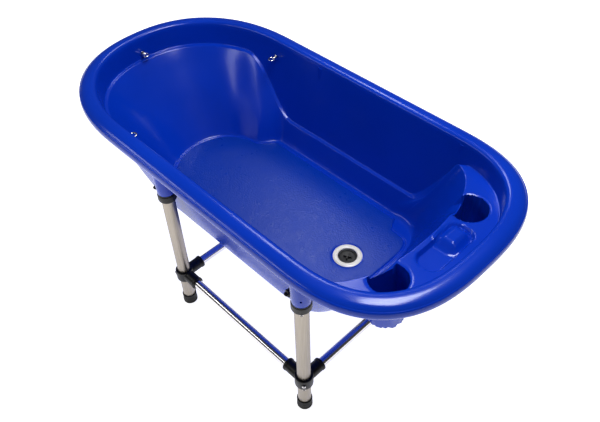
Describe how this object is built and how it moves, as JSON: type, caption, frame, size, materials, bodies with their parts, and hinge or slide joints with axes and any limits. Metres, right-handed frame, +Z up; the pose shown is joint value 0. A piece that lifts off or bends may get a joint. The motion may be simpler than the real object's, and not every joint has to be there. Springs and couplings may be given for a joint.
{
  "type": "pet bathtub",
  "caption": "Long oval blue plastic pet bathtub with a rolled rim, drain, tie points and an end shelf with cup holders, on steel legs tied by a low tube frame.",
  "frame": {"origin": "on the floor under the middle of the rim", "axes": "+X along the tub from the sloped deep end to the shelf end, +Y across to the rear side, +Z up"},
  "size_m": [1.299, 0.645, 0.5605],
  "materials": {
    "blue_plastic": "moulded cobalt blue plastic, high gloss",
    "satin_steel": "satin stainless tube",
    "polished_steel": "polished",
    "black_plastic": "semi-matt moulded black",
    "rubber": "matt black rubber",
    "ivory_plastic": "ivory drain flange"
  },
  "bodies": {
    "legs": {"leg_front_deep": "satin_steel", "foot_front_deep": "rubber", "leg_front_shelf": "satin_steel", "foot_front_shelf": "rubber", "leg_rear_deep": "satin_steel", "foot_rear_deep": "rubber", "leg_rear_shelf": "satin_steel", "foot_rear_shelf": "rubber"},
    "tub": {"tub_shell": "blue_plastic", "collar_front_deep": "black_plastic", "collar_front_shelf": "black_plastic", "collar_rear_deep": "black_plastic", "collar_rear_shelf": "black_plastic", "drain_flange": "ivory_plastic", "drain_gasket": "rubber", "drain_locknut": "black_plastic", "drain_spigot": "black_plastic", "tie_stud_end": "polished_steel", "tie_washer_end": "polished_steel", "tie_nut_end": "polished_steel", "tie_stud_rear": "polished_steel", "tie_washer_rear": "polished_steel", "tie_nut_rear": "polished_steel", "tie_stud_front": "polished_steel", "tie_washer_front": "polished_steel", "tie_nut_front": "polished_steel"},
    "brace": {"connector_front_deep": "black_plastic", "clamp_bolt_front_deep": "polished_steel", "connector_front_shelf": "black_plastic", "clamp_bolt_front_shelf": "polished_steel", "connector_rear_deep": "black_plastic", "clamp_bolt_rear_deep": "polished_steel", "connector_rear_shelf": "black_plastic", "clamp_bolt_rear_shelf": "polished_steel", "long_rail_front": "polished_steel", "long_rail_rear": "polished_steel", "cross_rail_deep": "polished_steel", "cross_rail_shelf": "polished_steel"},
    "stopper": {"drain_stopper": "black_plastic"},
    "knob_front_deep": {"knob_front_deep": "black_plastic"},
    "upper_button_front_deep": {"upper_button_front_deep": "polished_steel"},
    "lower_button_front_deep": {"lower_button_front_deep": "polished_steel"},
    "knob_front_shelf": {"knob_front_shelf": "black_plastic"},
    "upper_button_front_shelf": {"upper_button_front_shelf": "polished_steel"},
    "lower_button_front_shelf": {"lower_button_front_shelf": "polished_steel"},
    "knob_rear_deep": {"knob_rear_deep": "black_plastic"},
    "upper_button_rear_deep": {"upper_button_rear_deep": "polished_steel"},
    "lower_button_rear_deep": {"lower_button_rear_deep": "polished_steel"},
    "knob_rear_shelf": {"knob_rear_shelf": "black_plastic"},
    "upper_button_rear_shelf": {"upper_button_rear_shelf": "polished_steel"},
    "lower_button_rear_shelf": {"lower_button_rear_shelf": "polished_steel"},
    "tie_eye_end": {"tie_eye_end": "polished_steel"},
    "tie_eye_rear": {"tie_eye_rear": "polished_steel"},
    "tie_eye_front": {"tie_eye_front": "polished_steel"}
  },
  "joints": [
    {"name": "tub_lift", "type": "slide", "parent": "legs", "child": "tub", "axis": [0, 0, 1], "range_m": [0, 0.045]},
    {"name": "brace_height", "type": "slide", "parent": "legs", "child": "brace", "axis": [0, 0, 1], "range_m": [0, 0.1]},
    {"name": "stopper_lift", "type": "slide", "parent": "tub", "child": "stopper", "axis": [0, 0, 1], "range_m": [0, 0.03]},
    {"name": "knob_front_deep_turn", "type": "hinge", "parent": "tub", "child": "knob_front_deep", "pos_m": [-0.145, -0.287, 0.437], "axis": [-1, 0, 0], "range_deg": [0, 720]},
    {"name": "upper_button_front_deep_press", "type": "slide", "parent": "legs", "child": "upper_button_front_deep", "axis": [0.7071, 0.7071, 0], "range_m": [0, 0.0045], "stiffness_N_per_m": 800, "springref_m": -0.002},
    {"name": "lower_button_front_deep_press", "type": "slide", "parent": "legs", "child": "lower_button_front_deep", "axis": [0.7071, 0.7071, 0], "range_m": [0, 0.0045], "stiffness_N_per_m": 800, "springref_m": -0.002},
    {"name": "knob_front_shelf_turn", "type": "hinge", "parent": "tub", "child": "knob_front_shelf", "pos_m": [0.343, -0.287, 0.437], "axis": [-1, 0, 0], "range_deg": [0, 720]},
    {"name": "upper_button_front_shelf_press", "type": "slide", "parent": "legs", "child": "upper_button_front_shelf", "axis": [-0.7071, 0.7071, 0], "range_m": [0, 0.0045], "stiffness_N_per_m": 800, "springref_m": -0.002},
    {"name": "lower_button_front_shelf_press", "type": "slide", "parent": "legs", "child": "lower_button_front_shelf", "axis": [-0.7071, 0.7071, 0], "range_m": [0, 0.0045], "stiffness_N_per_m": 800, "springref_m": -0.002},
    {"name": "knob_rear_deep_turn", "type": "hinge", "parent": "tub", "child": "knob_rear_deep", "pos_m": [-0.145, 0.287, 0.437], "axis": [-1, 0, 0], "range_deg": [0, 720]},
    {"name": "upper_button_rear_deep_press", "type": "slide", "parent": "legs", "child": "upper_button_rear_deep", "axis": [0.7071, -0.7071, 0], "range_m": [0, 0.0045], "stiffness_N_per_m": 800, "springref_m": -0.002},
    {"name": "lower_button_rear_deep_press", "type": "slide", "parent": "legs", "child": "lower_button_rear_deep", "axis": [0.7071, -0.7071, 0], "range_m": [0, 0.0045], "stiffness_N_per_m": 800, "springref_m": -0.002},
    {"name": "knob_rear_shelf_turn", "type": "hinge", "parent": "tub", "child": "knob_rear_shelf", "pos_m": [0.343, 0.287, 0.437], "axis": [-1, 0, 0], "range_deg": [0, 720]},
    {"name": "upper_button_rear_shelf_press", "type": "slide", "parent": "legs", "child": "upper_button_rear_shelf", "axis": [-0.7071, -0.7071, 0], "range_m": [0, 0.0045], "stiffness_N_per_m": 800, "springref_m": -0.002},
    {"name": "lower_button_rear_shelf_press", "type": "slide", "parent": "legs", "child": "lower_button_rear_shelf", "axis": [-0.7071, -0.7071, 0], "range_m": [0, 0.0045], "stiffness_N_per_m": 800, "springref_m": -0.002},
    {"name": "tie_eye_end_swivel", "type": "hinge", "parent": "tub", "child": "tie_eye_end", "pos_m": [-0.5793, 0, 0.507], "axis": [1, 0, 0], "continuous": true},
    {"name": "tie_eye_rear_swivel", "type": "hinge", "parent": "tub", "child": "tie_eye_rear", "pos_m": [-0.285, 0.2486, 0.507], "axis": [0, -1, 0], "continuous": true},
    {"name": "tie_eye_front_swivel", "type": "hinge", "parent": "tub", "child": "tie_eye_front", "pos_m": [-0.285, -0.2486, 0.507], "axis": [0, 1, 0], "continuous": true}
  ]
}
